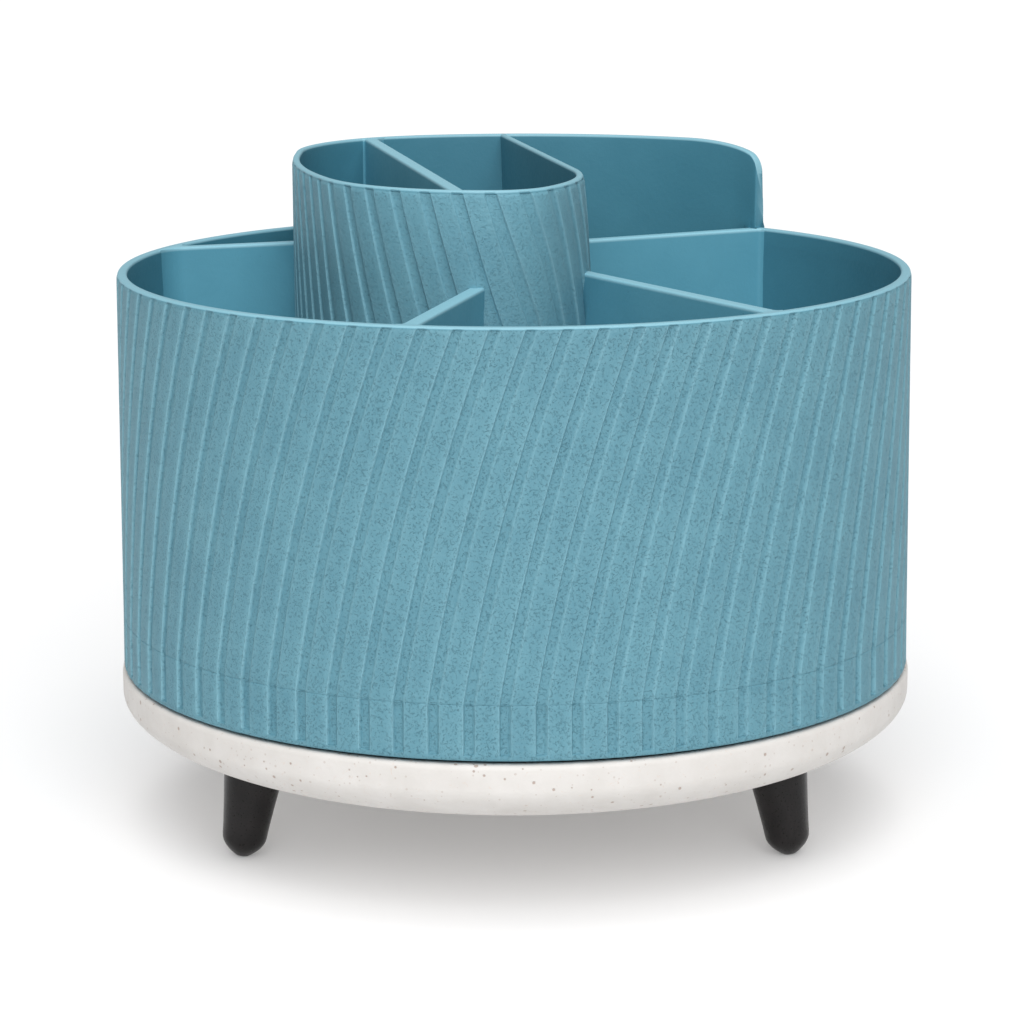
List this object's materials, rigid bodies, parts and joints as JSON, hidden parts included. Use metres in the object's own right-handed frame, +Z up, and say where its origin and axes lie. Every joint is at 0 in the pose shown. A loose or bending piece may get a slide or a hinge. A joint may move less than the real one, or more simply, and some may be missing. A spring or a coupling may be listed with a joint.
{
  "type": "rotating desk organizer",
  "caption": "Round ribbed tub with a tall cup and low dividers that spins on a ball ring over a round cream base on splayed black legs.",
  "frame": {"origin": "on the desk surface, on the spin axis of the tub", "axes": "+Z up along the spin axis; -Y is the front of the tub, the side with the front divider and away from the raised back wall; +X is to the right seen from the front"},
  "size_m": [0.152, 0.152, 0.125],
  "materials": {
    "teal_plastic": "matte speckled teal-blue moulded plastic",
    "cream_plastic": "matte off-white moulded plastic with fine brown specks",
    "black_plastic": "satin black",
    "steel": "bright zinc plate",
    "nylon": "natural nylon"
  },
  "bodies": {
    "base": {"base_bowl": "cream_plastic", "base_deck": "cream_plastic", "deck_screws": "steel", "leg_left": "black_plastic", "leg_right": "black_plastic", "leg_rear": "black_plastic", "leg_screws": "steel", "lower_race": "steel"},
    "ball_cage": {"cage_ring": "nylon", "bearing_balls": "steel"},
    "tub": {"tub_hub": "nylon", "pivot_washer": "steel", "pivot_screw": "steel", "upper_race": "steel", "tub_floor": "teal_plastic", "tub_skirt": "teal_plastic", "tub_wall": "teal_plastic", "cup_wall": "teal_plastic", "cup_partition": "teal_plastic", "divider_front": "teal_plastic", "divider_right": "teal_plastic", "divider_rear": "teal_plastic", "divider_left": "teal_plastic"}
  },
  "joints": [
    {"name": "tub_spin", "type": "hinge", "parent": "base", "child": "tub", "pos_m": [0, 0, 0.031], "axis": [0, 0, 1], "continuous": true},
    {"name": "cage_spin", "type": "hinge", "parent": "base", "child": "ball_cage", "pos_m": [0, 0, 0.029], "axis": [0, 0, 1], "continuous": true}
  ],
  "couplings": [
    {"joint": "cage_spin", "follows": "tub_spin", "ratio": 0.5}
  ]
}
